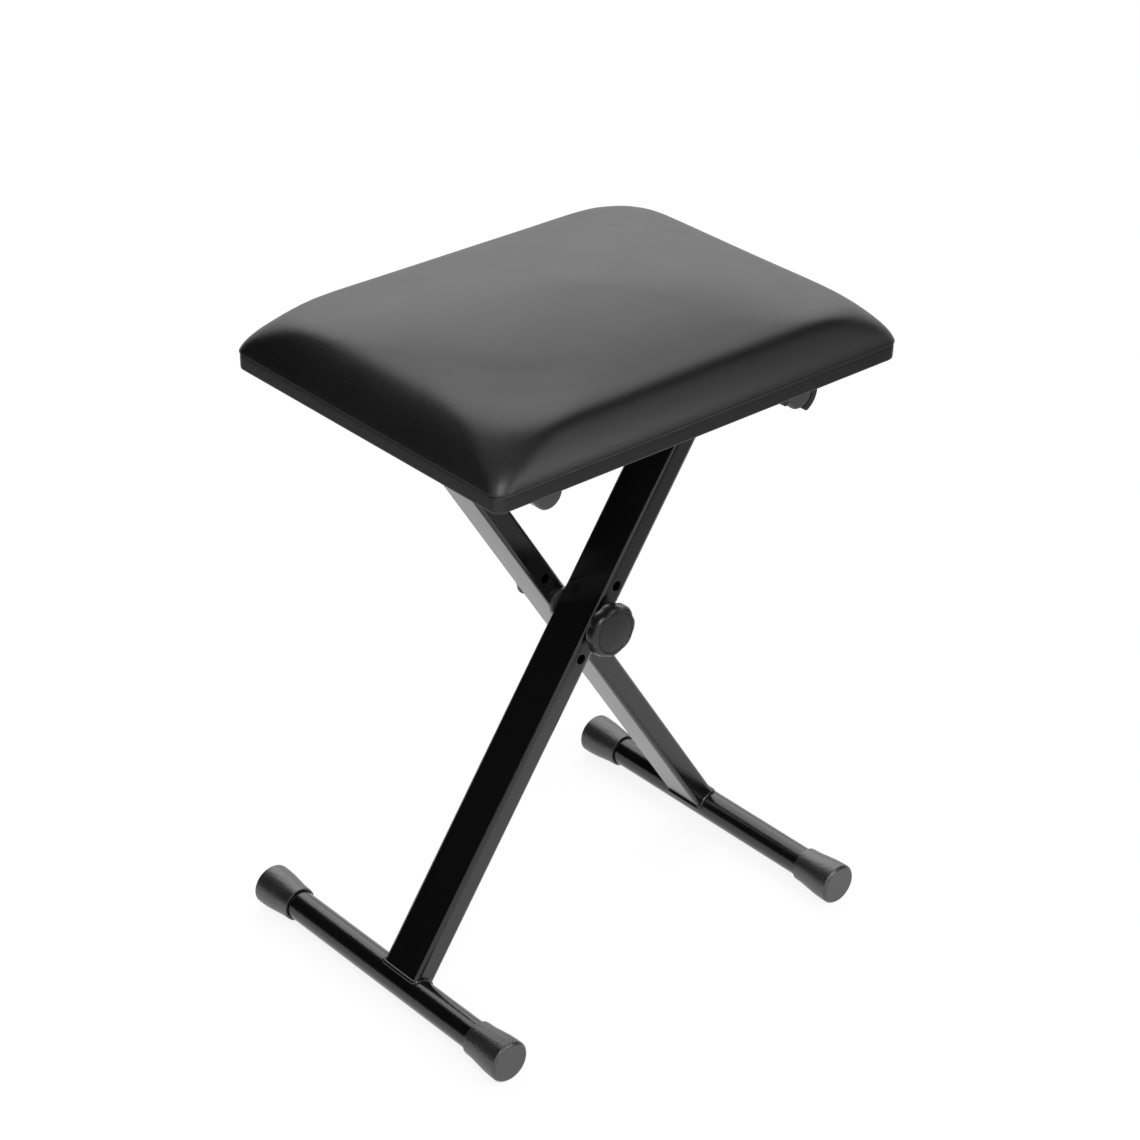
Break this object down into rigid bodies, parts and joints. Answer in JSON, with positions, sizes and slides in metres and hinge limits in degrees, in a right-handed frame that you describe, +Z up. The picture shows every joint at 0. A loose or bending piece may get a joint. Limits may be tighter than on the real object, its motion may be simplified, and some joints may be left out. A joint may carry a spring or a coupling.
{
  "type": "folding keyboard bench",
  "caption": "Folding bench with a padded vinyl seat on a crossed steel tube frame, a clamp knob at its pivot and capped foot bars.",
  "frame": {"origin": "on the floor under the middle of the bench", "axes": "+Z up; +X along the seat towards the end whose brackets hinge on their crossbar; +Y along the foot bars, away from the clamp knob"},
  "size_m": [0.403, 0.3064, 0.5683],
  "materials": {
    "powder_coat": "satin black powder coat",
    "vinyl": "smooth black vinyl, soft sheen",
    "rubber": "matte black",
    "plastic": "moulded black nylon",
    "knob": "satin black",
    "steel": "zinc plated",
    "plywood": "raw plywood",
    "foam": "open-cell foam",
    "lining": "black non-woven cloth"
  },
  "bodies": {
    "front_leg": {"front_leg_tube": "powder_coat", "front_crossbar": "powder_coat", "front_foot_bar": "powder_coat", "front_crossbar_plug_left": "plastic", "front_crossbar_plug_right": "plastic", "front_foot_cap_left": "rubber", "front_foot_cap_right": "rubber", "pivot_bolt": "steel", "bolt_washer": "steel", "leg_spacer": "plastic"},
    "rear_leg": {"rear_leg_tube": "powder_coat", "rear_crossbar": "powder_coat", "rear_foot_bar": "powder_coat", "rear_crossbar_plug_left": "plastic", "rear_crossbar_plug_right": "plastic", "rear_foot_cap_left": "rubber", "rear_foot_cap_right": "rubber"},
    "seat": {"seat_board": "plywood", "seat_foam": "foam", "seat_cover": "vinyl", "seat_lining": "lining", "hinge_bracket_left": "plastic", "hinge_bracket_right": "plastic", "catch_bracket_left": "plastic", "catch_bracket_right": "plastic", "bracket_screw_1": "steel", "bracket_screw_2": "steel", "bracket_screw_3": "steel", "bracket_screw_4": "steel", "bracket_screw_5": "steel", "bracket_screw_6": "steel", "bracket_screw_7": "steel", "bracket_screw_8": "steel"},
    "knob_washer": {"knob_washer": "steel"},
    "knob": {"knob_body": "knob", "knob_cap": "knob", "knob_insert": "steel"}
  },
  "joints": [
    {"name": "frame_fold", "type": "hinge", "parent": "front_leg", "child": "rear_leg", "pos_m": [0, 0, 0.29054], "axis": [0, 1, 0], "range_deg": [0, 59]},
    {"name": "seat_swing", "type": "hinge", "parent": "front_leg", "child": "seat", "pos_m": [0.12635, 0, 0.48093], "axis": [0, 1, 0], "range_deg": [0, 118]},
    {"name": "knob_travel", "type": "slide", "parent": "front_leg", "child": "knob_washer", "axis": [0, -1, 0], "range_m": [0, 0.00626]},
    {"name": "knob_turn", "type": "hinge", "parent": "knob_washer", "child": "knob", "pos_m": [0, 0, 0.29054], "axis": [0, -1, 0], "range_deg": [0, 1800]}
  ],
  "couplings": [
    {"joint": "seat_swing", "follows": "frame_fold", "ratio": 2},
    {"joint": "knob_travel", "follows": "knob_turn", "m_per_rad": 0.00019894}
  ]
}
